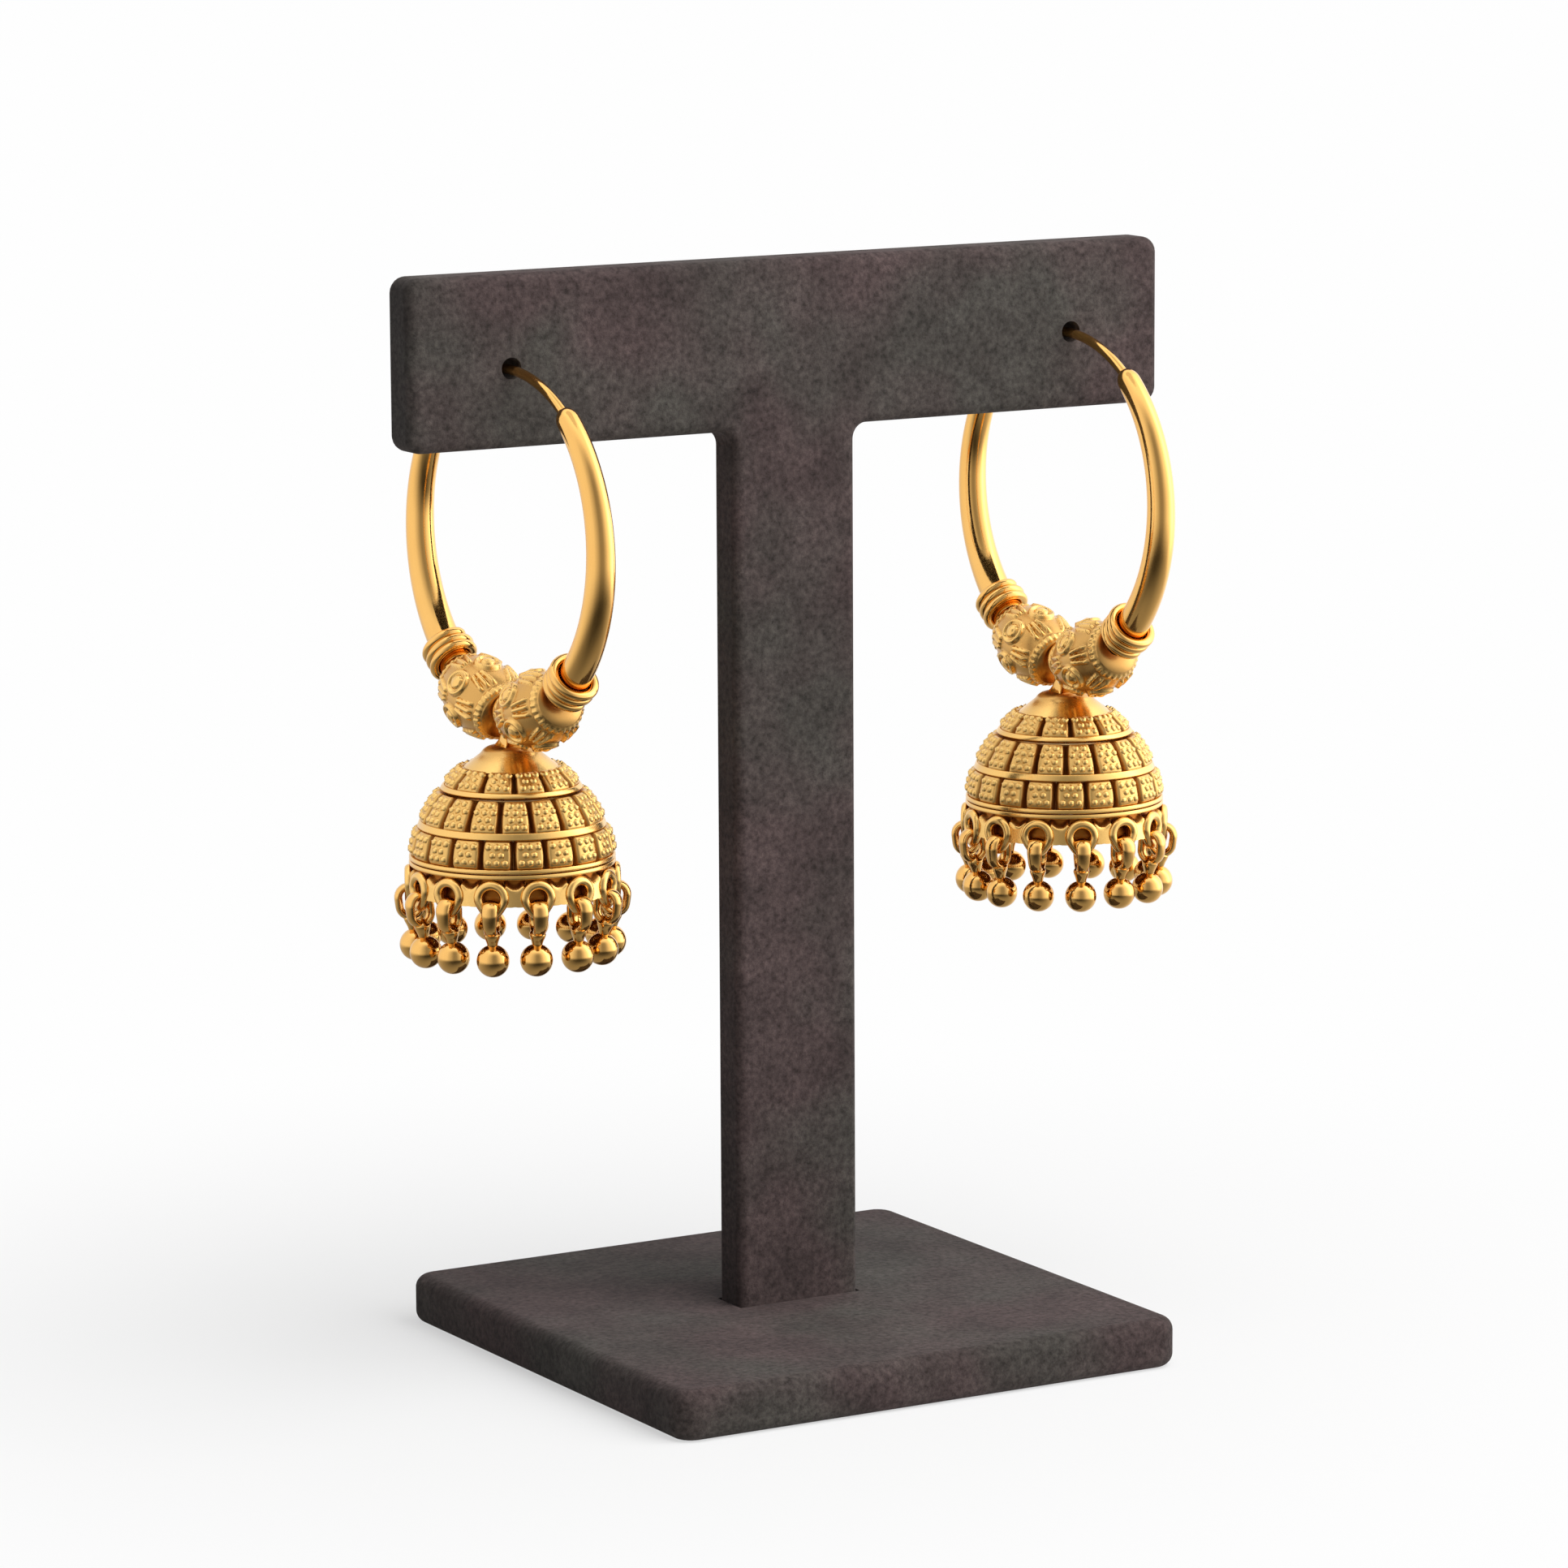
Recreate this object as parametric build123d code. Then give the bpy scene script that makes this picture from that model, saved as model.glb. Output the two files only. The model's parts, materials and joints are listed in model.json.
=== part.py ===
from build123d import *
from math import cos, radians, sin
import os

# A pair of jhumka hoop earrings hanging on a suede-covered T-bar stand.
# Millimetres, +Z up, origin on the ground under the middle of the stand.
# The bar runs along X, the front of the stand faces -Y.

os.makedirs("parts", exist_ok=True)

# ---- stand
BASE_SIDE = 51.0
BASE_HEIGHT = 4.5
BASE_CORNER = 2.2
BASE_EDGE = 1.2
BOARD_THICK = 4.1
BAR_LENGTH = 76.0
BAR_HEIGHT = 15.0
STAND_HEIGHT = 98.1
POST_WIDTH = 12.3
BOARD_CORNER = 1.4
BOARD_EDGE = 0.9
TENON_DEPTH = 3.0
TENON_GAP = 0.05
WIRE_HOLE_RADIUS = 0.95
WIRE_HOLE_HEIGHT = 90.0

# ---- hoop, in its own plane: angles run from its lowest point towards the front
HOOP_RADIUS = 15.0
HOOP_TOP = 90.15
HOOP_SETBACK = -1.1
TUBE_END_ANGLE = 137.5
TUBE_FOOT_ANGLE = 35.8
TUBE_END_RADIUS = 1.04
TUBE_FOOT_RADIUS = 1.5
CORE_RADIUS = 0.8
EAR_WIRE_RADIUS = 0.44
EAR_WIRE_REACH = 41.0
EAR_WIRE_RISE = 14.75
SOCKET_REACH = 43.0
SOCKET_GAP = 0.12

# ---- beads and wound collars on the hoop
BEAD_ANGLE = 18.3
BEAD_HALF_LENGTH = 3.75
BEAD_RADIUS = 3.25
BEAD_END_RADIUS = 2.2
BEAD_BORE = 1.4
BOSS_COUNT = 6
BOSS_RADIUS = 1.25
BOSS_RISE = 0.3
BOSS_RING_WIDTH = 0.3
COIL_ANGLE = 42.0
COIL_TURNS = 4
COIL_WIRE = 0.8
COIL_RADIUS = 2.38
COIL_BORE = 1.66

# ---- bell: depths run down from the hinge axis, which is the hoop's lowest point
BAIL_BORE = CORE_RADIUS + 0.08
BAIL_RADIUS = 1.75
BAIL_THICK = 0.7
CAP_TOP = 2.9
CAP_FLAT = 1.3
NECK = (3.0, 3.6)
WALL = 0.6
PAD_RISE = 0.32
BAND_RISE = 0.38
SLOT_WAIST = 0.4
SLOT_MOUTH = 0.85
SLOT_MARGIN = 0.12

# tier name, upper depth, upper radius, lower depth, lower radius, slots in a turn
TIERS = (
    ("upper", 4.75, 4.05, 6.3, 5.75, 12),
    ("middle", 6.85, 6.2, 9.4, 7.85, 17),
    ("lower", 10.0, 8.1, 12.3, 8.65, 19),
)

# ---- skirt with its eyelets
SKIRT_TOP = 13.2
SKIRT_EDGE = 15.5
SKIRT_TOP_RADIUS = 8.7
SKIRT_EDGE_RADIUS = 8.9
EYELET_COUNT = 14
EYELET_DEPTH = 14.9
EYELET_PITCH_RADIUS = 8.95
EYELET_RING_RADIUS = 1.33
EYELET_WIRE = 0.38

# ---- drops: heights run up from the eyelet wire that each loop hangs on
DROP_LEAN = 7.5
LOOP_OFFSET = 0.05
LOOP_TOP_CENTRE = 0.07
LOOP_LOW_CENTRE = -0.67
LOOP_RADIUS = 0.93
LOOP_WIRE = 0.36
LOOP_WIRE_ACROSS = 0.46
PEAR_TOP = -1.35
PEAR_BULGE = (0.62, -1.75)
STEM_NECK = (0.42, -2.38)
BALL_CENTRE = -4.1
BALL_RADIUS = 1.42

# side name, place along the bar, hoop turned about the vertical,
# then the bearing of the first slot in each tier and of the first eyelet
SIDES = (
    ("left", -28.15, 3.3, (-25.2, -14.9, -27.3), -14.2),
    ("right", 28.6, 1.9, (-26.4, -31.6, -19.3), -22.8),
)


def on_hoop(angle):
    """Place on the hoop's centre line: local Z points outwards, local Y along the hoop."""
    return Rot(X=-angle) * Pos(0, 0, -HOOP_RADIUS) * Rot(X=180)


def along_hoop(angle):
    """As on_hoop, with local Z along the hoop."""
    return on_hoop(angle) * Rot(X=90)


def hoop_arc(start, end):
    """Centre line of the hoop between two angles, in the plane X = 0."""
    middle = (start + end) / 2
    points = [Vector(0, -HOOP_RADIUS * sin(radians(a)), -HOOP_RADIUS * cos(radians(a)))
              for a in (start, middle, end)]
    return ThreePointArc(*points)


def hoop_rod(start, end, radius):
    """Round rod bent along the hoop."""
    return sweep(along_hoop(start) * Circle(radius), path=hoop_arc(start, end))


def at_bearing(bearing, radius, depth):
    """Place on the bell at a bearing from the front, local X outwards, local Z up."""
    return Pos(0, 0, -depth) * Rot(Z=bearing - 90) * Pos(radius, 0, 0)


# ---------------------------------------------------------------- stand

def stand_base():
    plate = Box(BASE_SIDE, BASE_SIDE, BASE_HEIGHT, align=(Align.CENTER, Align.CENTER, Align.MIN))
    plate = fillet(plate.edges().filter_by(Axis.Z), BASE_CORNER)
    rims = plate.faces().sort_by(Axis.Z)[-1].edges() + plate.faces().sort_by(Axis.Z)[0].edges()
    plate = fillet(rims, BASE_EDGE)
    mortise = Pos(0, 0, BASE_HEIGHT - TENON_DEPTH) * Box(
        POST_WIDTH + 2 * TENON_GAP, BOARD_THICK + 2 * TENON_GAP, BASE_HEIGHT,
        align=(Align.CENTER, Align.CENTER, Align.MIN))
    return plate - mortise


def stand_tee():
    foot = BASE_HEIGHT - TENON_DEPTH + TENON_GAP
    bar_low = STAND_HEIGHT - BAR_HEIGHT
    half_post = POST_WIDTH / 2
    half_bar = BAR_LENGTH / 2
    outline = Polyline(
        (-half_post, foot), (half_post, foot), (half_post, bar_low), (half_bar, bar_low),
        (half_bar, STAND_HEIGHT), (-half_bar, STAND_HEIGHT), (-half_bar, bar_low),
        (-half_post, bar_low), close=True)
    face = make_face(outline)
    corners = [v for v in face.vertices() if v.Y > foot + 1]
    face = fillet(corners, BOARD_CORNER)
    board = extrude(Plane.XZ * face, BOARD_THICK / 2, both=True)
    rims = [e for e in board.faces().sort_by(Axis.Y)[0].edges() if e.center().Z > foot + 0.1]
    rims += [e for e in board.faces().sort_by(Axis.Y)[-1].edges() if e.center().Z > foot + 0.1]
    board = fillet(rims, BOARD_EDGE)
    for _, place, _, _, _ in SIDES:
        hole = Pos(place, 0, WIRE_HOLE_HEIGHT) * Rot(X=90) * Cylinder(WIRE_HOLE_RADIUS, 3 * BOARD_THICK)
        board -= hole
    return board


# ---------------------------------------------------------------- hoop and its trim

def hoop():
    """Tapering tube, open over the top, with a thin core below for beads and bell."""
    body = hoop_rod(-TUBE_FOOT_ANGLE - 1, TUBE_FOOT_ANGLE + 1, CORE_RADIUS)
    for side in (-1, 1):
        start = side * TUBE_FOOT_ANGLE
        end = side * TUBE_END_ANGLE
        sections = [along_hoop(start) * Circle(TUBE_FOOT_RADIUS),
                    along_hoop(end) * Circle(TUBE_END_RADIUS)]
        tube = sweep(sections=sections, path=hoop_arc(start, end), multisection=True)
        dome = on_hoop(end) * Sphere(TUBE_END_RADIUS)
        tip = side * (180 - SOCKET_REACH)
        socket = hoop_rod(tip, side * 150, EAR_WIRE_RADIUS + SOCKET_GAP)
        body += (tube + dome) - socket
    return body


def ear_wire():
    """Thin wire that closes the hoop, a little flatter than the hoop itself."""
    half = HOOP_RADIUS * sin(radians(EAR_WIRE_REACH))
    level = HOOP_RADIUS * cos(radians(EAR_WIRE_REACH))
    path = ThreePointArc((0, -half, level), (0, 0, EAR_WIRE_RISE), (0, half, level))
    return sweep((path ^ 0) * Circle(EAR_WIRE_RADIUS), path=path)


def boss():
    """Raised round button with a ring groove, along +Z from the bead's axis."""
    rise = BEAD_RADIUS + BOSS_RISE
    ring_inner = BOSS_RADIUS - BOSS_RING_WIDTH
    bud = 0.45 * BOSS_RADIUS
    outline = Polyline(
        (0, BEAD_RADIUS - 1.0), (BOSS_RADIUS, BEAD_RADIUS - 1.0), (BOSS_RADIUS, rise - 0.1),
        (BOSS_RADIUS - 0.1, rise), (ring_inner, rise), (ring_inner, rise - 0.25),
        (bud, rise - 0.25), (bud, rise), (0.3 * BOSS_RADIUS, rise + 0.12), (0, rise + 0.15),
        close=True)
    return revolve(Plane.XZ * make_face(outline), Axis.Z)


def bead():
    """Drilled barrel with a row of ringed bosses, along local Z."""
    half = BEAD_HALF_LENGTH
    crown = ThreePointArc((BEAD_END_RADIUS, -half), (BEAD_RADIUS, 0), (BEAD_END_RADIUS, half))
    ends = Polyline((BEAD_END_RADIUS, half), (BEAD_BORE, half), (BEAD_BORE, -half),
                    (BEAD_END_RADIUS, -half))
    body = revolve(Plane.XZ * make_face(crown + ends), Axis.Z)
    bosses = [Rot(Z=(k + 0.5) * 360 / BOSS_COUNT) * Rot(Y=90) * boss() for k in range(BOSS_COUNT)]
    body += bosses
    return body - Cylinder(BEAD_BORE, 4 * half)


def coil():
    """Collar of wound wire, along local Z."""
    length = COIL_TURNS * COIL_WIRE
    centre = COIL_RADIUS - COIL_WIRE / 2
    sleeve = Cylinder(centre, length - COIL_WIRE)
    for turn in range(COIL_TURNS):
        level = (turn - (COIL_TURNS - 1) / 2) * COIL_WIRE
        sleeve += Pos(0, 0, level) * Torus(centre, 0.51 * COIL_WIRE)
    return sleeve - Cylinder(COIL_BORE, 2 * length)


# ---------------------------------------------------------------- bell

def bail():
    """Ring round the hoop's core, with the strap that carries the bell."""
    ring = Rot(X=90) * (Cylinder(BAIL_RADIUS, BAIL_THICK) - Cylinder(BAIL_BORE, 2 * BAIL_THICK))
    strap_top = BAIL_BORE + 0.3
    strap = Pos(0, 0, -strap_top) * Box(
        2 * BAIL_THICK, BAIL_THICK, CAP_TOP + 0.3 - strap_top,
        align=(Align.CENTER, Align.CENTER, Align.MAX))
    return ring + strap


def shell():
    """Wall of the bell, turned in one piece: cap, three padded tiers, bands and skirt."""
    outer = Line((0, -CAP_TOP), (CAP_FLAT, -CAP_TOP))
    outer += Line((CAP_FLAT, -CAP_TOP), (NECK[0], -NECK[1]))
    end = (NECK[0], -NECK[1])
    for _, high, high_radius, low, low_radius, _ in TIERS:
        start = (high_radius, -high)
        outer += band_edge(end, start)
        end = (low_radius, -low)
        middle = ((high_radius + low_radius) / 2, -(high + low) / 2)
        slope = Vector(low_radius - high_radius, high - low).normalized()
        bulge = (middle[0] - slope.Y * PAD_RISE, middle[1] + slope.X * PAD_RISE)
        outer += ThreePointArc(start, bulge, end)
    start = (SKIRT_TOP_RADIUS, -SKIRT_TOP)
    outer += double_band(end, start)
    outer += Line(start, (SKIRT_EDGE_RADIUS, -SKIRT_EDGE))
    inner_points = [(SKIRT_EDGE_RADIUS, -SKIRT_EDGE), (SKIRT_EDGE_RADIUS - 0.5, -SKIRT_EDGE),
                    (SKIRT_TOP_RADIUS - 0.5, -SKIRT_TOP)]
    for _, high, high_radius, low, low_radius, _ in reversed(TIERS):
        inner_points.append((low_radius - WALL, -low))
        inner_points.append((high_radius - 1.2 * WALL, -high - 0.3 * WALL))
    inner_points += [(NECK[0] - WALL, -NECK[1] - WALL), (0, -CAP_TOP - WALL), (0, -CAP_TOP)]
    return revolve(Plane.XZ * make_face(outer + Polyline(*inner_points)), Axis.Z)


def band_edge(upper, lower):
    """Outline of a flat band that stands proud between two tiers, or of the plain cap."""
    if upper == (NECK[0], -NECK[1]):
        return Line(upper, lower)
    return Polyline(upper, (upper[0] + BAND_RISE, upper[1]), (lower[0] + BAND_RISE - 0.15, lower[1]),
                    lower)


def double_band(upper, lower):
    """Outline of the twin ridge over the skirt."""
    half = (upper[1] + lower[1]) / 2
    proud = lower[0] + BAND_RISE - 0.05
    return Polyline(upper, (proud, upper[1]), (proud, half + 0.1), (proud - 0.2, half),
                    (proud, half - 0.1), (proud, lower[1]), lower)


def slots(tier, first_bearing):
    """Cutters for the pierced slots between the pads of one tier, pinched at the waist."""
    _, high, high_radius, low, low_radius, count = tier
    top = (low - high) / 2 - SLOT_MARGIN
    mouth = SLOT_MOUTH / 2
    waist = SLOT_WAIST / 2
    outline = Line((-mouth, top), (mouth, top))
    outline += ThreePointArc((mouth, top), (waist, 0), (mouth, -top))
    outline += Line((mouth, -top), (-mouth, -top))
    outline += ThreePointArc((-mouth, -top), (-waist, 0), (-mouth, top))
    reach = low_radius - high_radius + 3
    cutter = extrude(Plane.YZ * make_face(outline), reach / 2, both=True)
    radius = (high_radius + low_radius) / 2
    depth = (high + low) / 2
    return [at_bearing(first_bearing + k * 360 / count, radius, depth) * cutter
            for k in range(count)]


def eyelet_bearings(first_bearing):
    return [first_bearing + k * 360 / EYELET_COUNT for k in range(EYELET_COUNT)]


def bell(tier_bearings, first_eyelet):
    """The jhumka: bail, pierced dome and the ring of eyelets under it, soldered into one."""
    body = shell() + bail()
    cutters = []
    for tier, first_bearing in zip(TIERS, tier_bearings):
        cutters += slots(tier, first_bearing)
    rings = []
    for bearing in eyelet_bearings(first_eyelet):
        place = at_bearing(bearing, EYELET_PITCH_RADIUS, EYELET_DEPTH) * Rot(Y=90)
        rings.append(place * Torus(EYELET_RING_RADIUS, EYELET_WIRE))
        cutters.append(place * Cylinder(EYELET_RING_RADIUS, 3))
    return (body - cutters) + rings


def drop():
    """Ball on a thick loop; the loop's plane stands across the skirt, local X outwards."""
    high = LOOP_TOP_CENTRE
    low = LOOP_LOW_CENTRE
    radius = LOOP_RADIUS
    path = ThreePointArc((radius, 0, high), (0, 0, high + radius), (-radius, 0, high))
    path += Line((-radius, 0, high), (-radius, 0, low))
    path += ThreePointArc((-radius, 0, low), (0, 0, low - radius), (radius, 0, low))
    path += Line((radius, 0, low), (radius, 0, high))
    section = Pos(radius, 0, high) * Ellipse(LOOP_WIRE, LOOP_WIRE_ACROSS)
    loop = sweep(section, path=path)
    ball_top = BALL_CENTRE + (BALL_RADIUS ** 2 - STEM_NECK[0] ** 2) ** 0.5
    outline = Line((0, PEAR_TOP), (LOOP_WIRE, PEAR_TOP))
    outline += Spline((LOOP_WIRE, PEAR_TOP), PEAR_BULGE, STEM_NECK, (STEM_NECK[0], ball_top))
    outline += ThreePointArc((STEM_NECK[0], ball_top), (BALL_RADIUS, BALL_CENTRE),
                             (0, BALL_CENTRE - BALL_RADIUS))
    outline += Line((0, BALL_CENTRE - BALL_RADIUS), (0, PEAR_TOP))
    pear = revolve(Plane.XZ * make_face(outline), Axis.Z)
    return Rot(Y=DROP_LEAN) * Pos(LOOP_OFFSET, 0, 0) * (loop + pear)


# ---------------------------------------------------------------- build and write

def build():
    pieces = {"stand_base": stand_base(), "stand_tee": stand_tee()}
    tube, wire, barrel, collar, pendant = hoop(), ear_wire(), bead(), coil(), drop()
    for side, place, turn, tier_bearings, first_eyelet in SIDES:
        plane = Pos(place, HOOP_SETBACK, HOOP_TOP - HOOP_RADIUS) * Rot(Z=turn)
        pieces[f"{side}_hoop"] = plane * tube
        pieces[f"{side}_ear_wire"] = plane * wire
        for end, way in (("front", 1), ("rear", -1)):
            pieces[f"{side}_bead_{end}"] = plane * along_hoop(way * BEAD_ANGLE) * barrel
            pieces[f"{side}_coil_{end}"] = plane * along_hoop(way * COIL_ANGLE) * collar
        hinge = Pos(place, HOOP_SETBACK, HOOP_TOP - 2 * HOOP_RADIUS)
        jhumka = bell([bearing - turn for bearing in tier_bearings], first_eyelet - turn)
        pieces[f"{side}_bell"] = hinge * Rot(Z=turn) * jhumka
        ring_wire = EYELET_DEPTH + EYELET_RING_RADIUS
        for number, bearing in enumerate(eyelet_bearings(first_eyelet), start=1):
            hung = hinge * at_bearing(bearing, EYELET_PITCH_RADIUS, ring_wire) * pendant
            pieces[f"{side}_drop_{number:02d}"] = hung
    return pieces


for name, piece in build().items():
    export_step(piece, f"parts/{name}.step")
    print(name, round(piece.volume, 3), piece.is_valid)
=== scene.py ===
import json
from math import atan2, cos, degrees, hypot, pi, radians, sin

import bmesh
import bpy
import numpy as np
from mathutils import Matrix, Vector


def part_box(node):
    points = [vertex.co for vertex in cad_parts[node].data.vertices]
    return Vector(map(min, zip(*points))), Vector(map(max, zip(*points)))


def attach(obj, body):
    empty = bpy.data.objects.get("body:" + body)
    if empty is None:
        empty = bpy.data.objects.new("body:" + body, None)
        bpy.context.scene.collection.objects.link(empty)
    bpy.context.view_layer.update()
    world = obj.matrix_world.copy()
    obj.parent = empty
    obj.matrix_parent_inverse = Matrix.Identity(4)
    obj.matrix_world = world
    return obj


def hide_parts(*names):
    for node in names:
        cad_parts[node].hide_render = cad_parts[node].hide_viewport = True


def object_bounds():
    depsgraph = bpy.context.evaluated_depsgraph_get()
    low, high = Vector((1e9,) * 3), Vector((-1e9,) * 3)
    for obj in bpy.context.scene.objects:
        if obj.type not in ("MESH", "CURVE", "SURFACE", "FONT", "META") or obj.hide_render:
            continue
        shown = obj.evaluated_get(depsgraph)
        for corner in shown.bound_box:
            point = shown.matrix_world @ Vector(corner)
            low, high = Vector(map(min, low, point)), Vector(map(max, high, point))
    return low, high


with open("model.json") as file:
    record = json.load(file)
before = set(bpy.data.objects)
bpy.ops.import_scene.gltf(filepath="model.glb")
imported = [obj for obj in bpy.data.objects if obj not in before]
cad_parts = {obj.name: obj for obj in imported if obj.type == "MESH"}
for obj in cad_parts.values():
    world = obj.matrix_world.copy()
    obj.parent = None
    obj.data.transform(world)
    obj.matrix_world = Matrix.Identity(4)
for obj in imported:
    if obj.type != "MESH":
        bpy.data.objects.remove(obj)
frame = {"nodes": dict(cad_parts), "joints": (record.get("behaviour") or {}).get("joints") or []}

# A pair of gold jhumka hoop earrings on a suede-covered T-bar stand.
# Each earring is made in its own frame, in millimetres: the origin is on the hinge, which is
# the lowest point of the hoop's centre line, +Z is up and -Y is the front. Angles on the hoop
# run from its lowest point towards the front, bearings on the bell from the front towards +X,
# and depths run down from the hinge.

cad_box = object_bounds()
scene = bpy.context.scene
MM = 0.001
# a turned outline that starts on its axis keeps this far from it, a pinhole too fine to show
POLE = 0.001

# ---- hoop and ear wire
HOOP_RADIUS = 15.0
TUBE_FOOT_ANGLE = 35.8
TUBE_END_ANGLE = 137.5
TUBE_FOOT_RADIUS = 1.5
TUBE_END_RADIUS = 1.04
DOME_STRETCH = 1.4
CORE_RADIUS = 0.8
EAR_WIRE_RADIUS = 0.44
EAR_WIRE_ARC = 15.83
EAR_WIRE_ARC_DROP = 1.08
EAR_WIRE_HALF_ANGLE = 38.4

# ---- beads and wound collars
BEAD_ANGLE = 18.3
BEAD_HALF_LENGTH = 3.75
BEAD_RADIUS = 3.25
BEAD_END_RADIUS = 2.2
BEAD_BORE = 1.02
BORE_SHIFT = 0.45
BOSS_COUNT = 6
BOSS_RADIUS = 1.22
BOSS_RISE = 0.34
BOSS_GROOVE = 0.26
BUD_RISE = 0.12
BUD_RADIUS = 0.5
RIB_RISE = 0.3
RIB_LEANS = (-0.62, 0.0, 0.62)
RIB_SPREAD = 0.35
RIM_RISE = 0.2
RIM_NOTCHES = 28
BARREL_SINK = 0.05
COIL_ANGLE = 42.0
COIL_HALF_ANGLE = 4.55
COIL_TURNS = 3
COIL_WIRE_RADIUS = 0.41
COIL_RADIUS = 1.9
COIL_TUCK = 0.75
COIL_SLACKS = {"front": 0.07, "rear": 0.02}

# where each slope of a bead's relief starts and ends: those of a boss and its groove from the
# boss's middle, a rib's flank from the rib, and the others from the bead's middle
BOSS_SLOPE = (BOSS_RADIUS - 0.14, BOSS_RADIUS + 0.06)
GROOVE_IN = (0.52, 0.64)
GROOVE_OUT = (0.78, 0.92)
RIB_FLANK = (0.1, 0.26)
RIB_START = (0.75, 1.1)
RIB_STOP = (2.5, 2.8)
RIM_START = (2.95, 3.1)
RIM_STOP = (3.5, 3.7)

# ---- bell
BAIL_BORE = 0.88
BAIL_RADIUS = 1.72
BAIL_THICK = 0.7
BAIL_CORNER = 0.2
STRAP_CORNER = 0.25
CAP_THICK = 0.35
WALL = 0.6
PAD_EDGE_RISE = 0.3
PAD_RISE = 0.3
PAD_SINK = 0.2
PAD_OVERLAP = 0.06
PAD_SHOULDERS = (0.78, 0.9)
BAND_RISE = 0.16
RIDGE_RISE = 0.3
BAND_CORNER = 0.12
SLOT_WAIST = 0.24
SLOT_MOUTH = 0.5
SLOT_INSIDE = 0.02
GRAIN_RADIUS = 0.4
GRAIN_PITCH = 0.66
GRAIN_SPREAD = 1.06
GRAIN_SEAT = 0.1
GRAIN_SINK = 0.42
GRAIN_CUT = 0.35

# strap of the bail, from the hoop's core to the cap: height, half its width, half its depth
STRAP = (
    (-1.25, 0.8, 0.42), (-1.9, 0.85, 0.55), (-2.5, 0.95, 0.78), (-2.85, 1.15, 1.0),
    (-3.1, 1.4, 1.25),
)

# outline of the cap, from the rim of its flat top to its foot: radius, depth
CAP_OUTLINE = ((1.3, 2.9), (1.95, 3.0), (2.4, 3.25), (2.7, 3.6), (3.35, 4.12))

# tier name, upper depth, upper radius, lower depth, lower radius, pads in a turn
TIERS = (
    ("upper", 4.75, 4.05, 6.3, 5.75, 12),
    ("middle", 6.85, 6.2, 9.4, 7.85, 17),
    ("lower", 10.0, 8.1, 12.3, 8.65, 19),
)

# flat wires between the tiers: width, lean in degrees
TIER_BANDS = ((0.5, 34), (0.66, 20))
# twin ridge over the skirt: radius, depth, width, lean in degrees
RIDGE_BANDS = ((8.66, 12.54, 0.4, 6), (8.68, 13.0, 0.4, 4))

# ---- skirt and drops
SKIRT_TOP = 13.2
SKIRT_EDGE = 15.5
SKIRT_TOP_RADIUS = 8.7
SKIRT_EDGE_RADIUS = 8.9
WEB_THICK = 0.75
WEB_SINK = 0.4
WEB_RISE = 0.26
SOLDER_TOP = 1.3
SOLDER_DIP = 0.4
SOLDER_DIP_SLOPE = (1.1, 1.9)
SOLDER_SIDE_SLOPE = (0.95, 1.25)
SOLDER_EDGE = 0.3
EYELET_COUNT = 14
EYELET_DEPTH = 14.78
EYELET_PITCH_RADIUS = 8.95
EYELET_RING_RADIUS = 1.14
EYELET_WIRE = 0.42
EYELET_STRETCH = 1.33
EYELET_POINT = 0.28
EYELET_FLOOR = 0.5
HOLLOW_RADIUS = 0.9 * EYELET_RING_RADIUS
DROP_DEPTH = 16.2
DROP_LEAN = 7.5
DROP_WOBBLE = 1.2
LOOP_OFFSET = 0.05
LOOP_TOP_CENTRE = 0.07
LOOP_LOW_CENTRE = -0.67
LOOP_RADIUS = 0.93
LOOP_WIRE = 0.36
LOOP_WIRE_ACROSS = 0.56
LOOP_FLARE = 0.25
PEAR_TOP = -1.15
BALL_CENTRE = -4.1
BALL_RADIUS = 1.42
BALL_NECK_ANGLE = 18

# outline of the pear between loop and ball: radius, height
PEAR_OUTLINE = ((0.1, PEAR_TOP), (0.44, -1.35), (0.72, -1.75), (0.52, -2.4))

# side: bearing of the first slot in each tier
FIRST_SLOTS = {
    "left": (-25.2, -14.9, -27.3),
    "right": (-26.4, -31.6, -19.3),
}


# ---------------------------------------------------------------- small tools

def add(tree, kind, inputs=None, **settings):
    """Adds a node. An input is a value, a socket, or a node whose first output is meant."""
    node = tree.nodes.new(kind)
    for name, value in settings.items():
        setattr(node, name, value)
    for name, value in (inputs or {}).items():
        if isinstance(value, bpy.types.Node):
            value = value.outputs[0]
        if isinstance(value, bpy.types.NodeSocket):
            tree.links.new(value, node.inputs[name])
        else:
            node.inputs[name].default_value = value
    return node


def new_material(name):
    """Material whose node tree is still empty."""
    material = bpy.data.materials.new(name)
    material.use_nodes = True
    material.node_tree.nodes.clear()
    return material, material.node_tree


def polar(tree, angle, reach):
    """The two legs of a point at an angle: its reach times the sine and times the cosine."""
    legs = []
    for operation in ("SINE", "COSINE"):
        share = add(tree, "ShaderNodeMath", {0: angle}, operation=operation)
        legs.append(add(tree, "ShaderNodeMath", {0: share, 1: reach}, operation="MULTIPLY"))
    return legs


def linear(colour):
    """An sRGB hex colour as linear RGBA."""
    parts = [int(colour[i:i + 2], 16) / 255 for i in (1, 3, 5)]
    return [c / 12.92 if c <= 0.04045 else ((c + 0.055) / 1.055) ** 2.4 for c in parts] + [1.0]


def shade_smooth(mesh, below=50.0):
    """Smooth shading, except across edges sharper than an angle in degrees."""
    mesh.polygons.foreach_set("use_smooth", [True] * len(mesh.polygons))
    mesh.set_sharp_from_angle(angle=radians(below))


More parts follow.
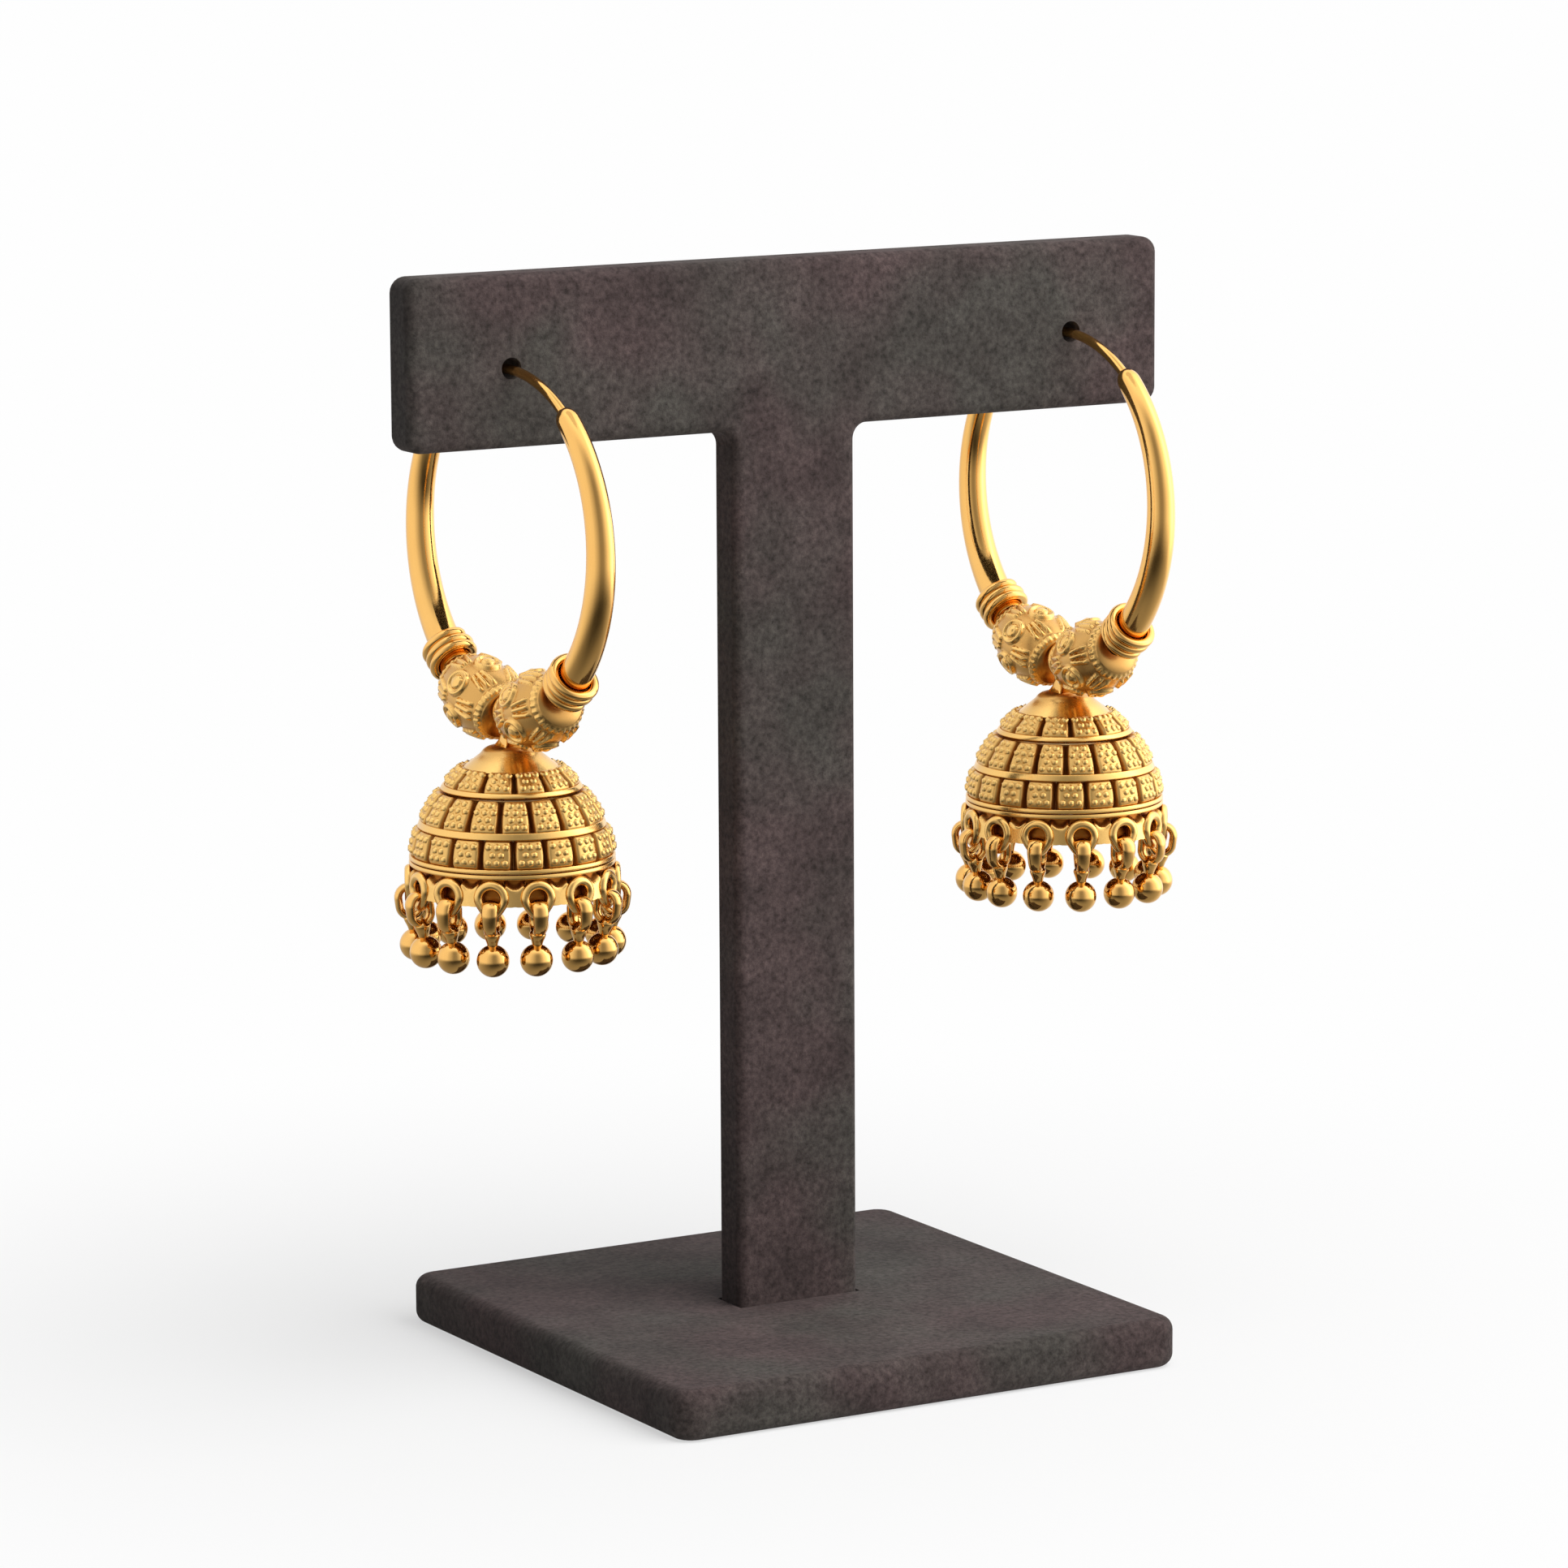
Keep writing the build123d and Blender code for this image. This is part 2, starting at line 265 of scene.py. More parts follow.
def mesh_of(name, points, faces, smooth_below=50.0):
    """Mesh with merged doubles, outward faces and smooth shading."""
    mesh = bpy.data.meshes.new(name)
    mesh.from_pydata([tuple(p) for p in points], [], [tuple(f) for f in faces])
    work = bmesh.new()
    work.from_mesh(mesh)
    bmesh.ops.remove_doubles(work, verts=work.verts, dist=1e-5)
    bmesh.ops.recalc_face_normals(work, faces=work.faces)
    work.to_mesh(mesh)
    work.free()
    shade_smooth(mesh, smooth_below)
    return mesh


def joined(name, meshes):
    """Several meshes as one, with their painted-shade attribute and smoothing kept."""
    work = bmesh.new()
    for mesh in meshes:
        work.from_mesh(mesh)
    whole = bpy.data.meshes.new(name)
    work.to_mesh(whole)
    work.free()
    return whole


def grid_faces(rows, columns, close_rows=False, close_columns=False):
    """Quads over a grid of points that is stored row by row."""
    faces = []
    for i in range(rows if close_rows else rows - 1):
        for j in range(columns if close_columns else columns - 1):
            k = (i + 1) % rows
            m = (j + 1) % columns
            faces.append((i * columns + j, i * columns + m, k * columns + m, k * columns + j))
    return faces


def turned(name, outline, steps=144, closed=True):
    """Solid of revolution about Z. The outline is a list of (radius, height)."""
    bearings = np.linspace(0, 2 * pi, steps, endpoint=False)
    points = [(r * sin(b), -r * cos(b), z) for r, z in outline for b in bearings]
    faces = grid_faces(len(outline), steps, close_rows=closed, close_columns=True)
    return mesh_of(name, points, faces)


def rounded_section(centre, width, height, corner, lean=0.0, arc_steps=4):
    """Rounded rectangle as (radius, height) points; lean turns it, in degrees."""
    points = []
    for k, (sx, sz) in enumerate(((1, 1), (-1, 1), (-1, -1), (1, -1))):
        for i in range(arc_steps + 1):
            a = radians(90 * k + 90 * i / arc_steps)
            x = sx * (width / 2 - corner) + corner * cos(a)
            z = sz * (height / 2 - corner) + corner * sin(a)
            t = radians(lean)
            points.append((centre[0] + x * cos(t) - z * sin(t), centre[1] + x * sin(t) + z * cos(t)))
    return points


def smooth_curve(knots, steps):
    """Catmull-Rom curve through (x, y) knots."""
    p = np.array([knots[0], *knots, knots[-1]], float)
    out = []
    for i in range(1, len(p) - 2):
        for t in np.linspace(0, 1, steps, endpoint=False):
            a = 2 * p[i]
            b = p[i + 1] - p[i - 1]
            c = 2 * p[i - 1] - 5 * p[i] + 4 * p[i + 1] - p[i + 2]
            d = -p[i - 1] + 3 * p[i] - 3 * p[i + 1] + p[i + 2]
            out.append(tuple(0.5 * (a + b * t + c * t ** 2 + d * t ** 3)))
    return out + [tuple(p[-2])]


def smoothstep(low, high, x):
    """0 below low, 1 above high and an even rise between them."""
    t = np.clip((x - low) / (high - low), 0, 1)
    return t * t * (3 - 2 * t)


def slab_faces(rows, columns):
    """Faces of a slab whose front grid is followed, point by point, by its back grid."""
    n = rows * columns
    faces = grid_faces(rows, columns)
    faces += [tuple(n + i for i in reversed(f)) for f in faces]
    rim = list(range(columns)) + [i * columns + columns - 1 for i in range(1, rows)]
    rim += [n - 1 - i for i in range(1, columns)] + [i * columns for i in range(rows - 2, 0, -1)]
    return faces + [(a, b, n + b, n + a) for a, b in zip(rim, rim[1:] + rim[:1])]


def set_painted_shade(mesh, values):
    """How much shade is painted on each vertex, from 0, none, to 1, full; the gold turns browner and
    rougher with it.
    """
    attribute = mesh.attributes.get("painted_shade") or mesh.attributes.new("painted_shade", "FLOAT", "POINT")
    attribute.data.foreach_set("value", np.asarray(values, float))


# ---------------------------------------------------------------- materials

def gold(name, colour, roughness, painted_shade_colour, recess_roughness, scratch_height):
    """22 carat gold plate on brass, with painted shade where its mesh marks it; the metal's own IOR
    is left at the default.
    """
    material, tree = new_material(name)
    place = add(tree, "ShaderNodeTexCoord").outputs["Object"]
    painted_shade = add(tree, "ShaderNodeAttribute", attribute_name="painted_shade").outputs["Fac"]
    # cloudy thickness of the plating, a few millimetres across
    cloud = add(tree, "ShaderNodeTexNoise", {"Vector": place, "Scale": 1 / (3.5 * MM), "Detail": 3.0})
    # buffing marks, about a fifth of a millimetre long
    marks = add(tree, "ShaderNodeTexNoise", {"Vector": place, "Scale": 1 / (0.2 * MM), "Detail": 4.0})
    warm = add(tree, "ShaderNodeMix", {0: cloud, 6: linear(colour[0]), 7: linear(colour[1])},
               data_type="RGBA")
    # painted shade: the colour turns to the darker painted shade colour where the mesh marks shade
    base = add(tree, "ShaderNodeMix", {0: painted_shade, 6: warm.outputs[2], 7: linear(painted_shade_colour)},
               data_type="RGBA")
    sheen = add(tree, "ShaderNodeMapRange", {
        "Value": marks, "From Min": 0.3, "From Max": 0.7,
        "To Min": roughness - 0.04, "To Max": roughness + 0.05})
    # the gold is also rougher where shade is painted
    rough = add(tree, "ShaderNodeMix", {0: painted_shade, 2: sheen, 3: recess_roughness}, data_type="FLOAT")
    bump = add(tree, "ShaderNodeBump", {"Height": marks, "Strength": 0.6,
                                       "Distance": scratch_height * MM})
    shader = add(tree, "ShaderNodeBsdfPrincipled", {
        "Base Color": base.outputs[2], "Metallic": 1.0, "Roughness": rough, "Normal": bump})
    add(tree, "ShaderNodeOutputMaterial", {"Surface": shader})
    return material


def suede():
    """Microfibre suede glued over board: a short brushed nap that lies this way and that, so
    it shows soft lighter and darker patches, a fine speckle and a pale sheen at the edges."""
    material, tree = new_material("charcoal_microfibre_suede")
    place = add(tree, "ShaderNodeTexCoord").outputs["Object"]
    # patches where the nap was brushed one way, some 6 mm across
    patch = add(tree, "ShaderNodeTexNoise", {"Vector": place, "Scale": 1 / (6 * MM), "Detail": 6.0,
                                            "Roughness": 0.62, "Distortion": 0.4})
    # slow change of hue, from a reddish to a greenish charcoal
    tint = add(tree, "ShaderNodeTexNoise", {"Vector": place, "Scale": 1 / (14 * MM), "Detail": 2.0},
               noise_dimensions="4D")
    tint.inputs["W"].default_value = 3.0
    # the nap itself is finer; it is drawn at half a millimetre, as coarse as it needs to show
    nap = add(tree, "ShaderNodeTexNoise", {"Vector": place, "Scale": 1 / (0.55 * MM), "Detail": 4.0,
                                          "Roughness": 0.7})
    brush = add(tree, "ShaderNodeMapRange", {"Value": patch, "From Min": 0.32, "From Max": 0.68})
    hue = add(tree, "ShaderNodeMapRange", {"Value": tint, "From Min": 0.4, "From Max": 0.62})
    laid = add(tree, "ShaderNodeMix", {0: brush, 6: linear("#342B2A"), 7: linear("#463A39")},
               data_type="RGBA")
    green = add(tree, "ShaderNodeMix", {0: brush, 6: linear("#312D2A"), 7: linear("#403D39")},
                data_type="RGBA")
    mixed = add(tree, "ShaderNodeMix", {0: hue, 6: laid.outputs[2], 7: green.outputs[2]},
                data_type="RGBA")
    speckle = add(tree, "ShaderNodeMapRange", {"Value": nap, "From Min": 0.3, "From Max": 0.7,
                                              "To Min": 0.46, "To Max": 1.58})
    base = add(tree, "ShaderNodeMix", {0: 1.0, 6: mixed.outputs[2], 7: speckle}, data_type="RGBA",
               blend_type="MULTIPLY", clamp_result=False)
    bump = add(tree, "ShaderNodeBump", {"Height": nap, "Strength": 0.8, "Distance": 0.12 * MM})
    shader = add(tree, "ShaderNodeBsdfPrincipled", {
        "Base Color": base.outputs[2], "Roughness": 0.95, "Specular IOR Level": 0.15,
        "Sheen Weight": 0.08, "Sheen Roughness": 0.5, "Sheen Tint": linear("#B9AFAE"),
        "Normal": bump})
    add(tree, "ShaderNodeOutputMaterial", {"Surface": shader})
    return material


# The colour after each gold's roughness is its painted shade, laid where its mesh marks it.
# Buffed tube, wire and balls: a clear mirror with soft edges.
POLISHED = gold("polished_gold_plate", ("#E6B062", "#ECBA6C"), 0.11, "#9A5E20", 0.4, 0.002)
# Cast beads, bands and rings: tumbled bright, a little softer than the buffed tube.
TUMBLED = gold("tumbled_gold_plate", ("#E9B96A", "#EFC276"), 0.22, "#94581E", 0.4, 0.004)
# Granulated work: satin on its tops, rougher in its hollows and on its inside, and browner there with
# painted shade.
GRANULATED = gold("granulated_gold_plate", ("#EABE70", "#F0C67A"), 0.3, "#A87030", 0.5, 0.006)
SUEDE = suede()


# ---------------------------------------------------------------- geometry trees

def new_tree(name, inputs):
    """Geometry Nodes tree with named inputs, given as (name, kind of socket)."""
    tree = bpy.data.node_groups.new(name, "GeometryNodeTree")
    for label, kind in inputs:
        tree.interface.new_socket(name=label, in_out="INPUT", socket_type="NodeSocket" + kind)
    tree.interface.new_socket(name="Geometry", in_out="OUTPUT", socket_type="NodeSocketGeometry")
    return tree, add(tree, "NodeGroupInput").outputs


def ended(tree, geometry, material):
    """The tree, ended with its geometry made real and given its material."""
    whole = add(tree, "GeometryNodeRealizeInstances", {"Geometry": geometry})
    whole = add(tree, "GeometryNodeSetMaterial", {"Geometry": whole, "Material": material})
    add(tree, "NodeGroupOutput", {"Geometry": whole})
    return tree


def wire_tree():
    """Wire that follows an arc of the hoop, straight along it or wound round it."""
    tree, given = new_tree("Wire along the hoop", (
        ("Arc Radius", "Float"), ("Arc Centre", "Float"), ("Start Angle", "Float"),
        ("End Angle", "Float"), ("Turns", "Float"), ("Winding Radius", "Float"),
        ("Slack", "Float"), ("Tuck", "Float"), ("Start Wire", "Float"), ("End Wire", "Float"),
        ("Steps", "Int"), ("Sides", "Int"), ("Material", "Material")))
    line = add(tree, "GeometryNodeCurvePrimitiveLine")
    line = add(tree, "GeometryNodeResampleCurve", {"Curve": line, "Count": given["Steps"]})
    last = add(tree, "ShaderNodeMath", {0: given["Steps"], 1: 1.0}, operation="SUBTRACT")
    along = add(tree, "ShaderNodeMath", {0: add(tree, "GeometryNodeInputIndex"), 1: last},
                operation="DIVIDE")
    angle = add(tree, "ShaderNodeMapRange", {"Value": along, "To Min": given["Start Angle"],
                                            "To Max": given["End Angle"]})
    winding = add(tree, "ShaderNodeMath", {0: along, 1: given["Turns"]}, operation="MULTIPLY")
    winding = add(tree, "ShaderNodeMath", {0: winding, 1: 2 * pi}, operation="MULTIPLY")
    # the last turns of a winding may stand off the wire they are wound round
    loose = add(tree, "ShaderNodeMapRange", {"Value": along, "From Min": 0.6, "From Max": 0.85,
                                            "To Max": given["Slack"]},
                interpolation_type="SMOOTHSTEP")
    reach = add(tree, "ShaderNodeMath", {0: given["Winding Radius"], 1: loose}, operation="ADD")
    # both ends of a winding dive under it
    middle = add(tree, "ShaderNodeMath", {0: along, 1: 0.5}, operation="SUBTRACT")
    middle = add(tree, "ShaderNodeMath", {0: middle}, operation="ABSOLUTE")
    tuck = add(tree, "ShaderNodeMapRange", {"Value": middle, "From Min": 0.42, "From Max": 0.5,
                                           "To Max": given["Tuck"]},
               interpolation_type="SMOOTHSTEP")
    reach = add(tree, "ShaderNodeMath", {0: reach, 1: tuck}, operation="SUBTRACT")
    outwards, sideways = polar(tree, winding, reach)
    outwards = add(tree, "ShaderNodeMath", {0: outwards, 1: loose}, operation="ADD")
    radius = add(tree, "ShaderNodeMath", {0: given["Arc Radius"], 1: outwards}, operation="ADD")
    forwards, down = polar(tree, angle, radius)
    back = add(tree, "ShaderNodeMath", {0: forwards, 1: -1.0}, operation="MULTIPLY")
    height = add(tree, "ShaderNodeMath", {0: given["Arc Centre"], 1: down}, operation="SUBTRACT")
    place = add(tree, "ShaderNodeCombineXYZ", {"X": sideways, "Y": back, "Z": height})
    bent = add(tree, "GeometryNodeSetPosition", {"Geometry": line, "Position": place})
    section = add(tree, "GeometryNodeCurvePrimitiveCircle", {"Resolution": given["Sides"],
                                                            "Radius": 1.0})
    thick = add(tree, "ShaderNodeMapRange", {"Value": along, "To Min": given["Start Wire"],
                                            "To Max": given["End Wire"]})
    wire = add(tree, "GeometryNodeCurveToMesh", {"Curve": bent, "Profile Curve": section,
                                                "Scale": thick, "Fill Caps": True})
    return ended(tree, wire, given["Material"])


def ring_tree():
    """Copies of a piece round the bell, each a little out of true as hand work is."""
    tree, given = new_tree("Copies round the bell", (
        ("Piece", "Object"), ("Count", "Int"), ("First Bearing", "Float"), ("Radius", "Float"),
        ("Height", "Float"), ("Wobble", "Float"), ("Seed", "Int"), ("Material", "Material")))
    points = add(tree, "GeometryNodePoints", {"Count": given["Count"]})
    step = add(tree, "ShaderNodeMath", {0: 2 * pi, 1: given["Count"]}, operation="DIVIDE")
    bearing = add(tree, "ShaderNodeMath", {0: add(tree, "GeometryNodeInputIndex"), 1: step,
                                          2: given["First Bearing"]}, operation="MULTIPLY_ADD")
    right, front = polar(tree, bearing, given["Radius"])
    back = add(tree, "ShaderNodeMath", {0: front, 1: -1.0}, operation="MULTIPLY")
    place = add(tree, "ShaderNodeCombineXYZ", {"X": right, "Y": back, "Z": given["Height"]})
    points = add(tree, "GeometryNodeSetPosition", {"Geometry": points, "Position": place})
    chance = add(tree, "FunctionNodeRandomValue", {0: (-1.0, -1.0, -1.0), 1: (1.0, 1.0, 1.0),
                                                  "Seed": given["Seed"]},
                 data_type="FLOAT_VECTOR")
    wobble = add(tree, "ShaderNodeVectorMath", {0: chance, "Scale": given["Wobble"]},
                 operation="SCALE")
    facing = add(tree, "ShaderNodeCombineXYZ", {"Z": bearing})
    turn = add(tree, "ShaderNodeVectorMath", {0: facing, 1: wobble}, operation="ADD")
    piece = add(tree, "GeometryNodeObjectInfo", {"Object": given["Piece"]}).outputs["Geometry"]
    copies = add(tree, "GeometryNodeInstanceOnPoints", {"Points": points, "Instance": piece,
                                                       "Rotation": turn})
    return ended(tree, copies, given["Material"])


def grown(tree, name, values):
    """Runs a tree with the given inputs and returns its result as a plain mesh."""
    host = bpy.data.objects.new(name, bpy.data.meshes.new(name))
    scene.collection.objects.link(host)
    modifier = host.modifiers.new("grow", "NODES")
    modifier.node_group = tree
    for item in tree.interface.items_tree:
        if item.in_out == "INPUT" and item.name in values:
            modifier[item.identifier] = values[item.name]
    graph = bpy.context.evaluated_depsgraph_get()
    mesh = bpy.data.meshes.new_from_object(host.evaluated_get(graph), depsgraph=graph)
    bpy.data.objects.remove(host)
    mesh.name = name
    shade_smooth(mesh)
    return mesh


def ring_of(name, piece, material, count, first, radius=0.0, height=0.0, wobble=0.0, seed=1):
    """A ring of copies of a mesh, which faces the front and stands at the ring's radius."""
    pattern = bpy.data.objects.new(name + "_pattern", piece)
    scene.collection.objects.link(pattern)
    mesh = grown(RING, name, {
        "Piece": pattern, "Count": count, "First Bearing": radians(first), "Radius": radius,
        "Height": height, "Wobble": radians(wobble), "Seed": seed, "Material": material})
    bpy.data.objects.remove(pattern)
    return mesh


WIRE = wire_tree()
RING = ring_tree()


# ---------------------------------------------------------------- hoop and its trim

def hoop_place(angle):
    """Frame on the hoop's centre line: X sideways, Z along the hoop towards the front."""
    along = Vector((0, -cos(radians(angle)), sin(radians(angle))))
    side = Vector((1, 0, 0))
    out = along.cross(side)
    spot = Vector((0, -HOOP_RADIUS * sin(radians(angle)), HOOP_RADIUS * (1 - cos(radians(angle)))))
    return Matrix.Translation(spot) @ Matrix((side, out, along)).transposed().to_4x4()


def hoop_wire(name, angles, wires, steps, sides, arc=(HOOP_RADIUS, HOOP_RADIUS), **winding):
    """Wire between two angles of the hoop; arc is the radius and centre height of its line."""
    turns, radius, slack, tuck = (winding.get(k, 0.0) for k in ("turns", "radius", "slack", "tuck"))
    return grown(WIRE, name, {
        "Arc Radius": arc[0], "Arc Centre": arc[1], "Start Angle": radians(angles[0]),
        "End Angle": radians(angles[1]), "Turns": turns, "Winding Radius": radius,
        "Slack": slack, "Tuck": tuck, "Start Wire": wires[0], "End Wire": wires[1],
        "Steps": steps, "Sides": sides, "Material": POLISHED})


def hoop_tube():
    """Two tapering tubes with rounded ends, and the thin core under the beads."""
    parts = [hoop_wire("core", (-TUBE_FOOT_ANGLE, TUBE_FOOT_ANGLE), (CORE_RADIUS, CORE_RADIUS),
                       steps=60, sides=24)]
    for way in (-1, 1):
        parts.append(hoop_wire("tube", (way * TUBE_FOOT_ANGLE, way * TUBE_END_ANGLE),
                               (TUBE_FOOT_RADIUS, TUBE_END_RADIUS), steps=160, sides=40))
        dome = [(TUBE_END_RADIUS * sin(a), -DOME_STRETCH * TUBE_END_RADIUS * cos(a))
                for a in np.linspace(0, pi, 17)]
        dome = turned("dome", dome, steps=40, closed=False)
        dome.transform(hoop_place(way * TUBE_END_ANGLE))
        parts.append(dome)
    return joined("hoop_tube", parts)


def ear_wire():
    """Thin wire that closes the hoop, a little flatter than the hoop itself."""
    return hoop_wire("ear_wire", (180 - EAR_WIRE_HALF_ANGLE, 180 + EAR_WIRE_HALF_ANGLE),
                     (EAR_WIRE_RADIUS, EAR_WIRE_RADIUS), steps=96, sides=20,
                     arc=(EAR_WIRE_ARC, HOOP_RADIUS - EAR_WIRE_ARC_DROP))


def coil(way, slack):
    """Collar of wound wire; its last turn, away from the bead, may stand off the tube."""
    near = COIL_ANGLE - COIL_HALF_ANGLE
    far = COIL_ANGLE + COIL_HALF_ANGLE
    return hoop_wire("coil", (way * near, way * far), (COIL_WIRE_RADIUS, COIL_WIRE_RADIUS),
                     steps=181, sides=16, turns=float(COIL_TURNS), radius=COIL_RADIUS,
                     slack=slack, tuck=COIL_TUCK)


def bead_relief(turn, along):
    """Height of the cast relief over the plain barrel, in millimetres."""
    pitch = 2 * pi / BOSS_COUNT
    across = ((turn / pitch) % 1 - 0.5) * pitch * BEAD_RADIUS
    away = np.hypot(across, along)
    disc = BOSS_RISE * (1 - smoothstep(*BOSS_SLOPE, away))
    groove = BOSS_GROOVE * smoothstep(*GROOVE_IN, away) * (1 - smoothstep(*GROOVE_OUT, away))
    bud = BUD_RISE * (1 - smoothstep(0.0, BUD_RADIUS, away))
    relief = disc - groove + bud
    # three short ribs fan out in each gap between the bosses
    gap = (((turn / pitch) + 0.5) % 1 - 0.5) * pitch * BEAD_RADIUS
    out = np.abs(along)
    for lean in RIB_LEANS:
        centre = lean * RIB_SPREAD * (1 + out)
        rib = RIB_RISE * (1 - smoothstep(*RIB_FLANK, np.abs(gap - centre)))
        rib = rib * smoothstep(*RIB_START, out) * (1 - smoothstep(*RIB_STOP, out))
        relief = np.maximum(relief, rib)
    # a milled rim runs round each end
    rim = RIM_RISE * (smoothstep(*RIM_START, out) * (1 - smoothstep(*RIM_STOP, out)))
    notch = 0.75 + 0.25 * np.cos(RIM_NOTCHES * turn)
    return np.maximum(relief, rim * notch)


def bead():
    """Drilled barrel with a row of ringed bosses, cast in relief."""
    rows = 110
    columns = 192
    half = BEAD_HALF_LENGTH
    sag = BEAD_RADIUS - BEAD_END_RADIUS
    arc = (half ** 2 + sag ** 2) / (2 * sag)
    along = np.linspace(-half, half, rows)[:, None]
    turn = np.linspace(0, 2 * pi, columns, endpoint=False)[None, :]
    barrel = np.sqrt(arc ** 2 - along ** 2) - arc + BEAD_RADIUS
    relief = bead_relief(turn, along)
    ends = 1 - smoothstep(half - 0.3, half, np.abs(along))
    radius = barrel - BARREL_SINK + relief * ends
    x = radius * np.cos(turn)
    y = radius * np.sin(turn)
    z = np.broadcast_to(along, x.shape)
    outside = np.stack([x, y, z], -1).reshape(-1, 3)
    # painted shade over the low ground between the bosses, ribs and rims
    painted_shade = 0.4 * (1 - smoothstep(0.0, 0.2, relief)).ravel()
    # the bore's mouths lie towards the hoop's middle, where the bent core comes out
    bore = [(BEAD_BORE * cos(t), BORE_SHIFT + BEAD_BORE * sin(t), s * half)
            for s in (1, -1) for t in turn[0]]
    points = np.vstack([outside, bore])
    faces = grid_faces(rows, columns, close_columns=True)
    top = (rows - 1) * columns
    inner = rows * columns
    for j in range(columns):
        k = (j + 1) % columns
        faces.append((top + j, top + k, inner + k, inner + j))
        faces.append((inner + j, inner + k, inner + columns + k, inner + columns + j))
        faces.append((inner + columns + j, inner + columns + k, k, j))
    mesh = mesh_of("bead", points, faces, smooth_below=70)
    # the bore is painted with deeper shade
    set_painted_shade(mesh, np.concatenate([painted_shade, np.full(len(bore), 0.6)]))
    mesh.materials.append(TUMBLED)
    return mesh


# ---------------------------------------------------------------- bell

def bail():
    """Ring round the hoop's core, with the strap that carries the bell."""
    middle = (BAIL_BORE + BAIL_RADIUS) / 2
    section = rounded_section((middle, 0), BAIL_RADIUS - BAIL_BORE, BAIL_THICK, BAIL_CORNER)
    ring = turned("ring", section, steps=48)
    ring.transform(Matrix.Rotation(radians(90), 4, "X"))
    points = []
    for z, half_width, half_depth in STRAP:
        outline = rounded_section((0, 0), 2 * half_width, 2 * half_depth, STRAP_CORNER)
        points += [(x, y, z) for x, y in outline]
    columns = len(points) // len(STRAP)
    faces = grid_faces(len(STRAP), columns, close_columns=True)
    faces.append(tuple(range(columns)))
    faces.append(tuple(range(len(points) - columns, len(points))))
    return joined("bail", [ring, mesh_of("strap", points, faces)])


def cap():
    """Polished shallow cone at the top of the bell."""
    summit = CAP_OUTLINE[0][1]
    steps = 6
    knots = [(POLE, summit), *CAP_OUTLINE, (TIERS[0][2] + 0.1, TIERS[0][1])]
    top = smooth_curve([(r, -depth) for r, depth in knots], steps)
    # the inside follows the cone, from the flat top's rim to the foot
    under = [(max(r - CAP_THICK, POLE), z - 0.9 * WALL) for r, z in reversed(top[2 * steps:])]
    mesh = turned("cap", top + under + [(POLE, -summit - WALL)])
    # painted shade and a painted warm reflection of the beads, near the top where they hang over it
    depth = np.array([-v.co.z for v in mesh.vertices])
    set_painted_shade(mesh, 0.45 * (1 - smoothstep(3.1, 4.4, depth)))
    return mesh


def band(radius, depth, width, proud, lean=0.0):
    """Flat wire bent round the bell, standing proud of the pads."""
    thick = WALL + proud
    return turned("band", rounded_section((radius - WALL / 2 + proud / 2, -depth), thick, width,
                                          BAND_CORNER, lean))


def bands():
    """The two flat wires between the tiers and the twin ridge over the skirt."""
    parts = [band((above[4] + below[2]) / 2, (above[3] + below[1]) / 2, width, BAND_RISE, lean)
             for above, below, (width, lean) in zip(TIERS, TIERS[1:], TIER_BANDS)]
    parts += [band(radius, depth, width, RIDGE_RISE, lean)
              for radius, depth, width, lean in RIDGE_BANDS]
    # painted shade: the inner faces, inside the bell, are painted with full shade
    for part in parts:
        radius = np.array([hypot(v.co.x, v.co.y) for v in part.vertices])
        set_painted_shade(part, (radius < radius.max() - WALL) * 1.0)
    return parts


def tier_place(tier):
    """Function that puts (across, along the slope, out of the wall) on a tier's wall."""
    _, high, high_radius, low, low_radius, _ = tier
    slope = hypot(low - high, low_radius - high_radius)
    down = (low - high) / slope
    out = (low_radius - high_radius) / slope

    def place(across, along, rise):
        wall_radius = (high_radius + low_radius) / 2 + along * out
        bearing = across / wall_radius
        radius = wall_radius + rise * down
        height = -(high + low) / 2 - along * down + rise * out
        return radius * np.sin(bearing), -radius * np.cos(bearing), height + 0 * bearing
    return place


